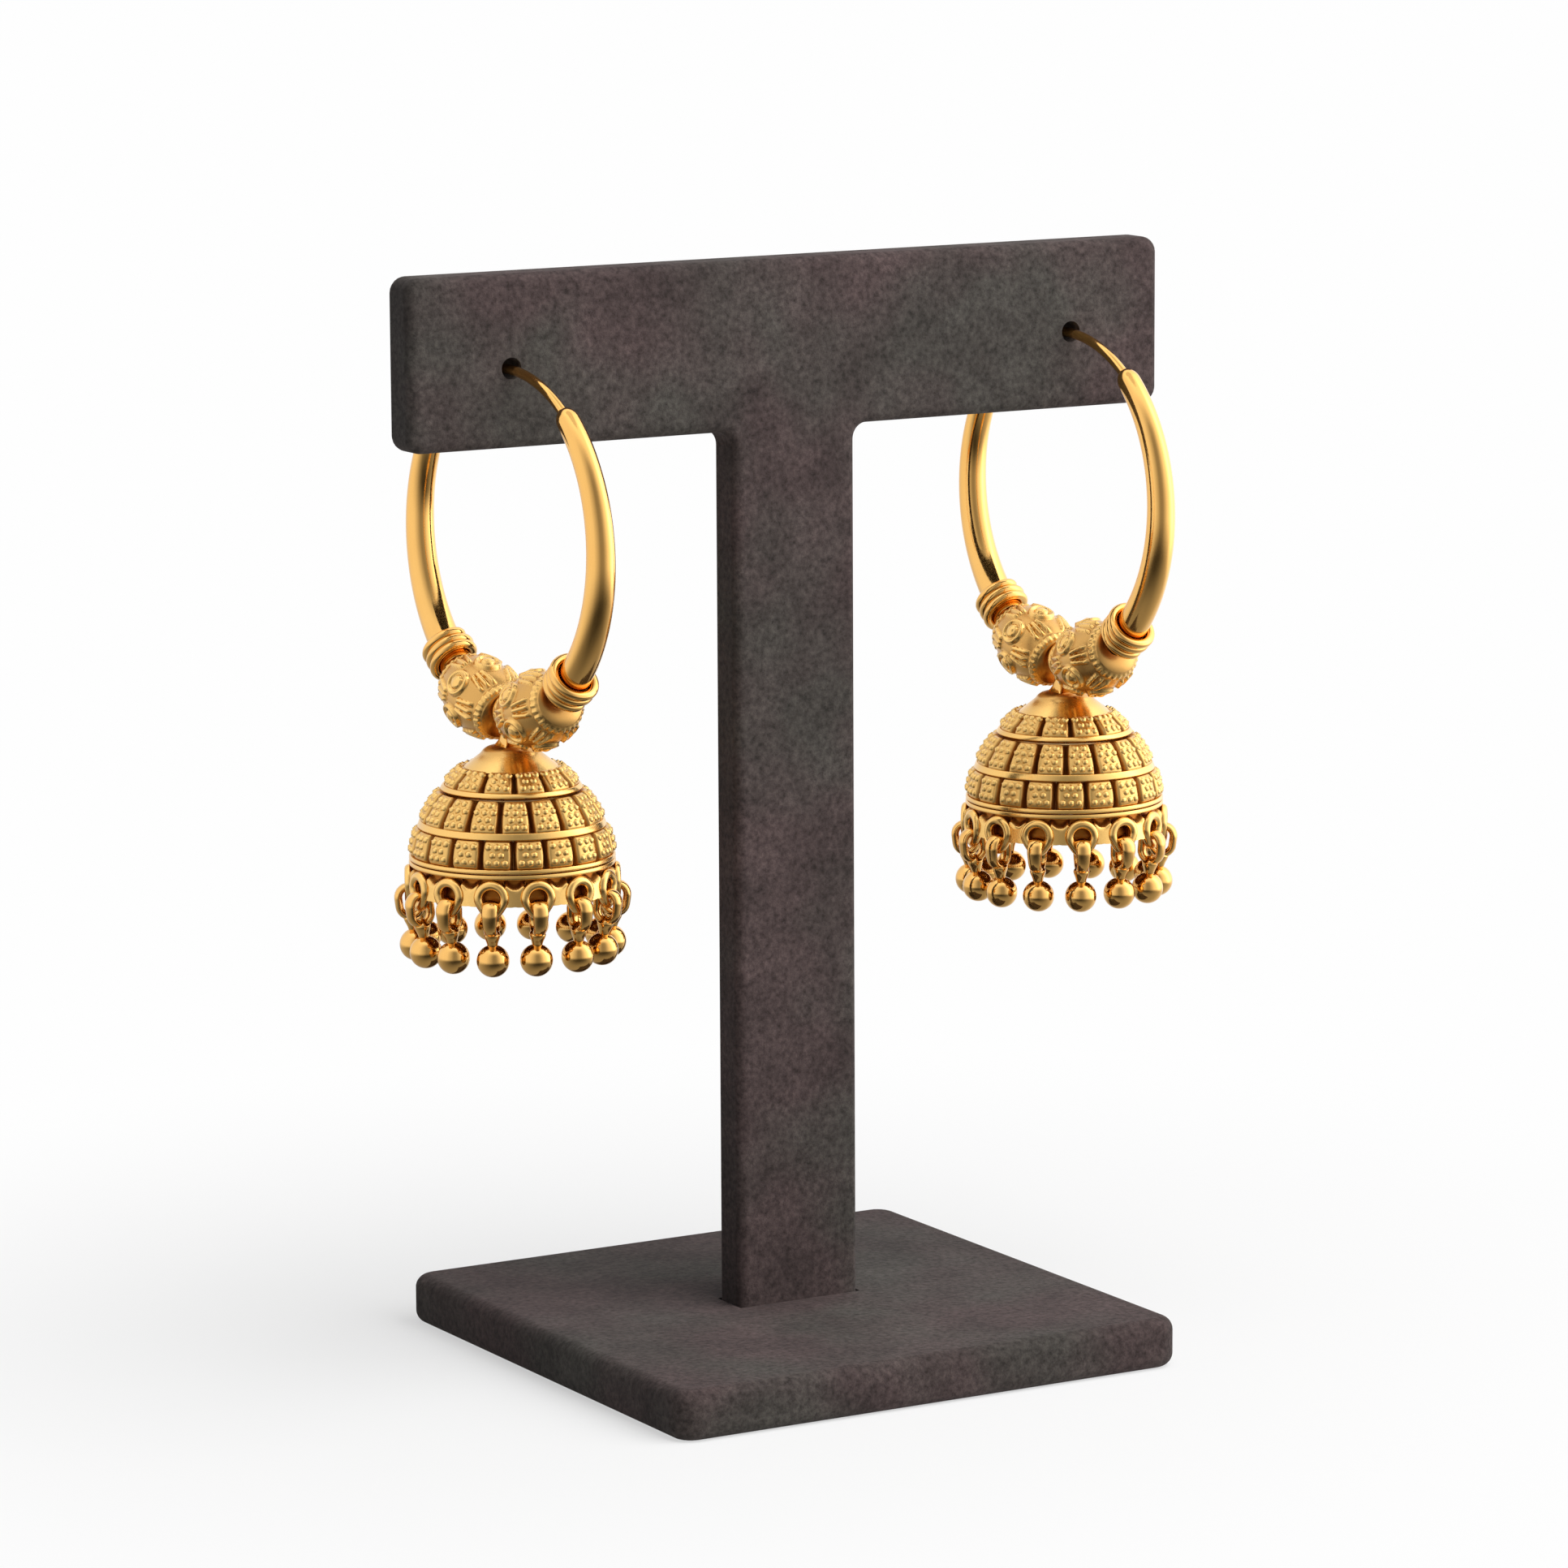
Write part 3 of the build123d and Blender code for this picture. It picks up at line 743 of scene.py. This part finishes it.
def pad(tier):
    """Crowned pad between two slots, facing the front, with staggered rows of grains on it."""
    name, high, high_radius, low, low_radius, count = tier
    place = tier_place(tier)
    slope = hypot(low - high, low_radius - high_radius)
    # the grid is closest at the pad's rounded edges
    steps = np.array([0, 0.2, 0.4, 0.58, 0.72, 0.83, 0.91, 0.97, 1.0])
    steps = np.concatenate([-steps[:0:-1], steps])
    v = steps[:, None]
    u = steps[None, :]
    wall_radius = (high_radius + low_radius) / 2 + v * (low_radius - high_radius) / 2
    gap = SLOT_WAIST + (SLOT_MOUTH - SLOT_WAIST) * v ** 2
    half_width = (2 * pi * wall_radius / count - gap) / 2
    across = half_width * u
    along = (slope / 2 + PAD_OVERLAP) * v * np.ones_like(u)
    edges = shoulder(u, PAD_SHOULDERS[0]) * shoulder(v, PAD_SHOULDERS[1])
    rise = (PAD_EDGE_RISE + crown(u, v)) * edges - PAD_SINK
    front = np.stack(place(across, along, rise), -1).reshape(-1, 3)
    # the slots narrow towards the inside of the bell
    inner = (pi * wall_radius / count - SLOT_INSIDE / 2) * u
    back = np.stack(place(inner, along, -WALL), -1).reshape(-1, 3)
    body = mesh_of("pad", np.vstack([front, back]), slab_faces(len(steps), len(steps)), 60)
    # painted shade: light over the face between the grains, deeper towards its edges by the slots and
    # ends, full on its back inside the bell
    side = np.maximum(smoothstep(0.8, 1.0, np.abs(u)), smoothstep(0.9, 1.0, np.abs(v)))
    set_painted_shade(body, np.concatenate([0.25 + 0.5 * side.ravel(), np.ones(side.size)]))
    grains = []
    rows = int(slope / GRAIN_PITCH)
    for row in range(rows):
        y = (row - (rows - 1) / 2) * GRAIN_PITCH
        columns = 3 if (rows - row) % 2 else 2
        for column in range(columns):
            x = (column - (columns - 1) / 2) * GRAIN_SPREAD * GRAIN_PITCH
            rise = GRAIN_SEAT + crown(x / half_width.max(), 2 * y / slope)
            grains.append(grain(place(x, y, rise - GRAIN_SINK * GRAIN_RADIUS)))
    return joined(name + "_pad", [body, *grains])


def crown(across, along):
    """Height of a pad's crowned face over its edges, at shares of its half width and half length."""
    return PAD_RISE * (1 - along ** 4) * (1 - 0.3 * across ** 2)


def shoulder(t, start):
    """1 over the middle of a face, rounding down to 0 at its edges."""
    over = np.clip((np.abs(t) - start) / (1 - start), 0, 1)
    return np.sqrt(1 - over ** 2)


def grain(spot):
    """Half-sunk ball of granulation, without the faces that its pad hides."""
    work = bmesh.new()
    bmesh.ops.create_icosphere(work, subdivisions=1, radius=GRAIN_RADIUS)
    low = [f for f in work.faces if f.calc_center_median().y > GRAIN_CUT * GRAIN_RADIUS]
    bmesh.ops.delete(work, geom=low, context="FACES")
    mesh = bpy.data.meshes.new("grain")
    work.to_mesh(mesh)
    work.free()
    mesh.transform(Matrix.Translation([float(c) for c in spot]))
    mesh.polygons.foreach_set("use_smooth", [True] * len(mesh.polygons))
    set_painted_shade(mesh, np.zeros(len(mesh.vertices)))
    return mesh


def eyelet():
    """Wire eyelet, round above and drawn out to a blunt point below, facing the front."""
    ring = turned("ring", [(EYELET_RING_RADIUS + EYELET_WIRE * cos(a), EYELET_WIRE * sin(a))
                           for a in np.linspace(0, 2 * pi, 16, endpoint=False)], steps=40)
    ring.transform(Matrix.Rotation(radians(90), 4, "X"))
    for vertex in ring.vertices:
        low = max(-vertex.co.z, 0) / EYELET_RING_RADIUS
        vertex.co.x *= 1 - EYELET_POINT * low ** 2
        vertex.co.z -= (EYELET_STRETCH - 1) * EYELET_RING_RADIUS * min(low, 1) ** 2
    return ring


def solder_cover(across, up):
    """How far solder fills the skirt's wall beside an eyelet, highest close to its ring."""
    across = np.abs(across)
    top = SOLDER_TOP - SOLDER_DIP * smoothstep(*SOLDER_DIP_SLOPE, across)
    filled = 1 - smoothstep(top - SOLDER_EDGE, top + SOLDER_EDGE, up)
    return filled * smoothstep(*SOLDER_SIDE_SLOPE, across)


def web():
    """One cell of the skirt's wall round its eyelet, in the bell's own place: a sunk hollow in
    the eyelet, and solder that fills the wall between it and its neighbour but for a small
    triangle under the ridge; the hollow and the triangle are painted with shade."""
    half = pi * EYELET_PITCH_RADIUS / EYELET_COUNT
    over = EYELET_DEPTH - SKIRT_TOP
    under = SKIRT_EDGE - EYELET_DEPTH
    # rows of points run round the eyelet's centre, from the hollow's rim out to the cell's edge
    turn = np.linspace(0, 2 * pi, 96, endpoint=False)[None, :]
    side = half / np.maximum(np.abs(np.cos(turn)), 1e-6)
    level = np.where(np.sin(turn) > 0, over, under) / np.maximum(np.abs(np.sin(turn)), 1e-6)
    hollow = np.minimum(HOLLOW_RADIUS, level)
    outer = np.maximum(np.minimum(side, level), hollow)
    share = np.concatenate([[0], np.linspace(0, 1, 15)])[:, None]
    reach = hollow + share * (outer - hollow)
    reach = np.vstack([0 * hollow, reach])
    across = reach * np.cos(turn)
    up = reach * np.sin(turn)
    depth = EYELET_DEPTH - up
    share = (depth - SKIRT_TOP) / (SKIRT_EDGE - SKIRT_TOP)
    wall_radius = SKIRT_TOP_RADIUS + share * (SKIRT_EDGE_RADIUS - SKIRT_TOP_RADIUS)
    solder = solder_cover(across, up)
    out = WEB_RISE * solder - WEB_SINK * (1 - solder)
    out[:2] = -EYELET_FLOOR
    bearing = across / EYELET_PITCH_RADIUS
    points = []
    for radius in (wall_radius + out, wall_radius - WEB_THICK):
        points.append(np.stack([radius * np.sin(bearing), -radius * np.cos(bearing), -depth], -1))
    rows, columns = reach.shape
    n = reach.size
    faces = grid_faces(rows, columns, close_columns=True)
    faces += [tuple(n + i for i in reversed(f)) for f in faces]
    last = n - columns
    for j in range(columns):
        k = (j + 1) % columns
        faces.append((last + j, last + k, n + last + k, n + last + j))
    mesh = mesh_of("web", np.vstack([p.reshape(-1, 3) for p in points]), faces)
    spots = np.array([v.co for v in mesh.vertices])
    wide = np.abs(np.arctan2(spots[:, 0], -spots[:, 1])) * EYELET_PITCH_RADIUS
    # painted shade in the eyelet's hollow and wherever solder doesn't fill the wall
    set_painted_shade(mesh, 1 - solder_cover(wide, EYELET_DEPTH + spots[:, 2]))
    return mesh


def drop():
    """Thick loop, pear and ball; the loop stands across the skirt."""
    top = []
    steps = 14
    for i in range(2 * steps):
        a = pi * (i % steps) / (steps - 1)
        upper = i < steps
        centre = LOOP_TOP_CENTRE if upper else LOOP_LOW_CENTRE
        a += 0 if upper else pi
        top.append((LOOP_RADIUS * cos(a), centre + LOOP_RADIUS * sin(a), cos(a), sin(a)))
    sides = 14
    points = []
    for y, z, ny, nz in top:
        wide = LOOP_WIRE_ACROSS * (1 + LOOP_FLARE * float(smoothstep(-1.4, 0.6, z)))
        for j in range(sides):
            b = 2 * pi * j / sides
            points.append((wide * sin(b), y + LOOP_WIRE * cos(b) * ny,
                           z + LOOP_WIRE * cos(b) * nz))
    loop = mesh_of("loop", points, grid_faces(len(top), sides, close_rows=True, close_columns=True))
    start = radians(BALL_NECK_ANGLE)
    joint = (BALL_RADIUS * sin(start), BALL_CENTRE + BALL_RADIUS * cos(start))
    pear = smooth_curve([*PEAR_OUTLINE, joint], 7)
    ball = [(BALL_RADIUS * sin(a), BALL_CENTRE + BALL_RADIUS * cos(a))
            for a in np.linspace(start, pi, 22)]
    body = turned("pear", [(POLE, PEAR_TOP)] + pear[:-1] + ball, steps=32, closed=False)
    whole = joined("drop", [loop, body])
    whole.transform(Matrix.Rotation(radians(DROP_LEAN), 4, "X")
                    @ Matrix.Translation((0, -LOOP_OFFSET, 0)))
    return whole


# ---------------------------------------------------------------- putting an earring together

def finish_piece(name, mesh, place, body, nodes, material=None):
    """Puts a finished mesh in the frame, makes it ride on its body and stand for its nodes."""
    mesh.transform(place)
    if material:
        mesh.materials.clear()
        mesh.materials.append(material)
    piece = bpy.data.objects.new(name, mesh)
    mesh.name = name
    scene.collection.objects.link(piece)
    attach(piece, body)
    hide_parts(*nodes)
    return piece


def earring(side, joint):
    """All pieces of one earring, round the hinge of its bell."""
    hinge = Vector(joint["pos_m"])
    axis = Vector(joint["axis"])
    turn = degrees(atan2(-axis.x, axis.y))
    place = (Matrix.Translation(hinge) @ Matrix.Rotation(radians(turn), 4, "Z")
             @ Matrix.Scale(MM, 4))
    jhumka = side + "_jhumka"

    finish_piece(side + "_hoop_tube", hoop_tube(), place, "stand", [side + "_hoop"], POLISHED)
    finish_piece(side + "_thin_ear_wire", ear_wire(), place, "stand", [side + "_ear_wire"], POLISHED)
    for end, way in (("front", 1), ("rear", -1)):
        barrel = bead()
        barrel.transform(hoop_place(way * BEAD_ANGLE))
        finish_piece(f"{side}_embossed_bead_{end}", barrel, place, "stand", [f"{side}_bead_{end}"])
        finish_piece(f"{side}_wound_collar_{end}", coil(way, COIL_SLACKS[end]), place, "stand",
                     [f"{side}_coil_{end}"], POLISHED)

    bell_node = [side + "_bell"]
    finish_piece(side + "_bell_bail", bail(), place, jhumka, bell_node, POLISHED)
    finish_piece(side + "_bell_cap", cap(), place, jhumka, bell_node, TUMBLED)
    finish_piece(side + "_bell_bands", joined("bands", bands()), place, jhumka, bell_node, TUMBLED)
    for tier, first in zip(TIERS, FIRST_SLOTS[side]):
        first_pad = first - turn + 180 / tier[5]
        pads = ring_of(tier[0], pad(tier), GRANULATED, tier[5], first_pad)
        finish_piece(f"{side}_{tier[0]}_tier_pads", pads, place, jhumka, bell_node)

    low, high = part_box(side + "_drop_01")
    middle = (low + high) / 2 - hinge
    first = degrees(atan2(middle.x, -middle.y)) - turn
    eyelets = ring_of("eyelets", eyelet(), TUMBLED, EYELET_COUNT, first,
                      EYELET_PITCH_RADIUS, -EYELET_DEPTH)
    webs = ring_of("webs", web(), TUMBLED, EYELET_COUNT, first)
    finish_piece(side + "_eyelet_skirt", joined("skirt", [eyelets, webs]), place, jhumka,
                 bell_node, TUMBLED)
    drops = ring_of("drops", drop(), POLISHED, EYELET_COUNT, first, EYELET_PITCH_RADIUS,
                    -DROP_DEPTH, wobble=DROP_WOBBLE, seed=len(side))
    finish_piece(side + "_ball_drops", drops, place, jhumka,
                 [f"{side}_drop_{k:02d}" for k in range(1, EYELET_COUNT + 1)], POLISHED)


for joint in frame["joints"]:
    earring("left" if joint["name"].startswith("left") else "right", joint)

for name in ("stand_base", "stand_tee"):
    board = frame["nodes"][name]
    board.data.materials.clear()
    board.data.materials.append(SUEDE)


# ---------------------------------------------------------------- floor, light and camera

FLOOR_HALF = 6.0
CLEAR_FLOOR = 0.13
CARD_REACH = 0.33
EARRING_HEIGHT = 0.065
OVERHEAD = 1.6
UNDERFOOT = 0.36
ROOM_FILL = 0.08
NEAR_WHITE = 0.5

# elevations between which the cards turn to the overhead, the underfoot and the mat's brightness
OVERHEAD_SLOPE = (38, 72)
UNDERFOOT_SLOPE = (30, 65)
HORIZON_SLOPE = (-27, -5)

# What the gold mirrors: azimuth, brightness above the horizon, brightness below it. A wide soft
# box stands on the right and pale screens on the left and behind, with a dark gap in front of
# the stand, over a dark mat.
SURROUNDINGS = (
    (-180, 0.95, 0.60), (-136, 1.15, 0.55), (-104, 1.20, 0.40), (-77, 1.15, 0.22),
    (-53, 0.75, 0.08), (-30, 0.36, 0.05), (-10, 0.40, 0.07), (5, 0.75, 0.12), (17, 1.10, 0.18),
    (44, 1.85, 0.40), (56, 2.80, 0.50), (68, 3.70, 0.60), (84, 2.40, 0.90), (104, 1.80, 1.00),
    (135, 1.15, 0.90), (180, 0.95, 0.60),
)

# lamp's name, azimuth, elevation, distance, size, power
LAMPS = (("key", 33, 42, 0.6, 0.75, 7.7), ("top", -10, 80, 0.8, 0.5, 1.5))

# camera: how far it turns right, looks down and rolls, its distance, its lens and sensor, and
# how far right of the frame's middle and above it the middle of the stand lies
YAW, PITCH, ROLL = radians(30.17), radians(9.70), radians(0.305)
CAMERA_DISTANCE = 593.7 * MM
LENS, SENSOR = 153.3, 36.0
AIM_RIGHT, AIM_UP = 0.33 * MM, -2.02 * MM


def seen_directly(tree):
    """1 for rays from the camera, off metal or through glass, and 0 for the light on things."""
    path = add(tree, "ShaderNodeLightPath").outputs
    seen = add(tree, "ShaderNodeMath", {0: path["Is Camera Ray"], 1: path["Is Glossy Ray"]},
               operation="MAXIMUM")
    return add(tree, "ShaderNodeMath", {0: seen, 1: path["Is Transmission Ray"]},
               operation="MAXIMUM")


def floor():
    """Pale paper sweep that keeps the shadow near the stand and is plain white further off."""
    mesh = mesh_of("floor", [(-FLOOR_HALF, -FLOOR_HALF, 0), (FLOOR_HALF, -FLOOR_HALF, 0),
                             (FLOOR_HALF, FLOOR_HALF, 0), (-FLOOR_HALF, FLOOR_HALF, 0)],
                   [(0, 1, 2, 3)])
    material, tree = new_material("white_paper")
    place = add(tree, "ShaderNodeTexCoord").outputs["Object"]
    away = add(tree, "ShaderNodeVectorMath", {0: place}, operation="LENGTH").outputs["Value"]
    far = add(tree, "ShaderNodeMapRange", {"Value": away, "To Min": NEAR_WHITE,
                                          "From Max": CLEAR_FLOOR}, interpolation_type="SMOOTHSTEP")
    plain = add(tree, "ShaderNodeMath", {0: far, 1: seen_directly(tree)}, operation="MULTIPLY")
    paper = add(tree, "ShaderNodeBsdfDiffuse", {"Color": linear("#DADADA")})
    white = add(tree, "ShaderNodeEmission", {"Color": linear("#FEFEFE"), "Strength": 1.0})
    mixed = add(tree, "ShaderNodeMixShader", {0: plain, 1: paper, 2: white})
    add(tree, "ShaderNodeOutputMaterial", {"Surface": mixed})
    mesh.materials.append(material)
    sweep = bpy.data.objects.new("floor", mesh)
    scene.collection.objects.link(sweep)


def room():
    """White studio: seen and mirrored as white, but giving only a soft fill."""
    world = bpy.data.worlds.new("studio")
    world.use_nodes = True
    scene.world = world
    tree = world.node_tree
    tree.nodes.clear()
    fill = add(tree, "ShaderNodeBackground", {"Color": linear("#FFFFFF"), "Strength": ROOM_FILL})
    white = add(tree, "ShaderNodeBackground", {"Color": linear("#FEFEFE"), "Strength": 1.0})
    mixed = add(tree, "ShaderNodeMixShader", {0: seen_directly(tree), 1: fill, 2: white})
    add(tree, "ShaderNodeOutputWorld", {"Surface": mixed})


def sight(azimuth, elevation):
    """Direction from the object, azimuth 0 in front of it and 90 to its right."""
    a, e = radians(azimuth), radians(elevation)
    return Vector((sin(a) * cos(e), -cos(a) * cos(e), sin(e)))


def mirrored_brightness(azimuth, elevation):
    """How bright the cards are in one direction from the earrings."""
    knots = np.array(SURROUNDINGS)
    high = np.interp(azimuth, knots[:, 0], knots[:, 1])
    low = np.interp(azimuth, knots[:, 0], knots[:, 2])
    high = high + (OVERHEAD - high) * float(smoothstep(*OVERHEAD_SLOPE, elevation))
    low = low + (UNDERFOOT - low) * float(smoothstep(*UNDERFOOT_SLOPE, -elevation))
    return low + (high - low) * float(smoothstep(*HORIZON_SLOPE, elevation))


def studio_cards():
    """Mat and screens round the stand, which only the polished metal mirrors."""
    elevations = [-82, -74, -66, -58, -50, -42, -34, -28, -25, -22, -19, -16, -13, -10, -7, -4, 0,
                  8, 16, 25, 35, 45, 55, 65, 72]
    azimuths = np.arange(-180, 180, 4)
    points = []
    shades = []
    for elevation in elevations:
        for azimuth in azimuths:
            way = sight(azimuth, elevation)
            reach = CARD_REACH
            if way.z < 0:
                reach = min(reach, EARRING_HEIGHT / -way.z)
            spot = way * reach + Vector((0, 0, EARRING_HEIGHT + MM))
            points.append(spot)
            shades.append(mirrored_brightness(azimuth, elevation))
    mesh = mesh_of("cards", points, grid_faces(len(elevations), len(azimuths), close_columns=True))
    shade = mesh.attributes.new("shade", "FLOAT", "POINT")
    shade.data.foreach_set("value", shades)
    material, tree = new_material("studio_cards")
    shade = add(tree, "ShaderNodeAttribute", attribute_name="shade").outputs["Fac"]
    glow = add(tree, "ShaderNodeEmission", {"Color": linear("#FFFFFF"), "Strength": shade})
    add(tree, "ShaderNodeOutputMaterial", {"Surface": glow})
    mesh.materials.append(material)
    cards = bpy.data.objects.new("studio_cards", mesh)
    scene.collection.objects.link(cards)
    cards.visible_camera = False
    cards.visible_diffuse = False
    cards.visible_shadow = False
    cards.visible_transmission = False


def lamp(name, azimuth, elevation, distance, size, power, middle):
    """Soft square lamp that faces the middle of the stand and isn't mirrored itself."""
    light = bpy.data.lights.new(name, "AREA")
    light.shape = "SQUARE"
    light.size = size
    light.energy = power
    thing = bpy.data.objects.new(name, light)
    scene.collection.objects.link(thing)
    spot = middle + distance * sight(azimuth, elevation)
    thing.matrix_world = (Matrix.Translation(spot)
                          @ (spot - middle).to_track_quat("Z", "Y").to_matrix().to_4x4())
    thing.visible_glossy = False


def camera(middle):
    """The camera stands in front of the left earring and looks slightly down."""
    right = Vector((cos(YAW), -sin(YAW), 0))
    forward = Vector((sin(YAW) * cos(PITCH), cos(YAW) * cos(PITCH), -sin(PITCH)))
    up = right.cross(forward)
    spot = middle - AIM_RIGHT * right - AIM_UP * up - CAMERA_DISTANCE * forward
    side = cos(ROLL) * right - sin(ROLL) * up
    top = sin(ROLL) * right + cos(ROLL) * up
    data = bpy.data.cameras.new("camera")
    data.lens = LENS
    data.sensor_width = SENSOR
    data.clip_start, data.clip_end = 0.01, 30.0
    eye = bpy.data.objects.new("camera", data)
    scene.collection.objects.link(eye)
    eye.matrix_world = Matrix.Translation(spot) @ Matrix((side, top, -forward)).transposed().to_4x4()
    scene.camera = eye


middle = (cad_box[0] + cad_box[1]) / 2
floor()
room()
studio_cards()
for row in LAMPS:
    lamp(*row, middle)
camera(middle)
scene.view_settings.view_transform = "Standard"
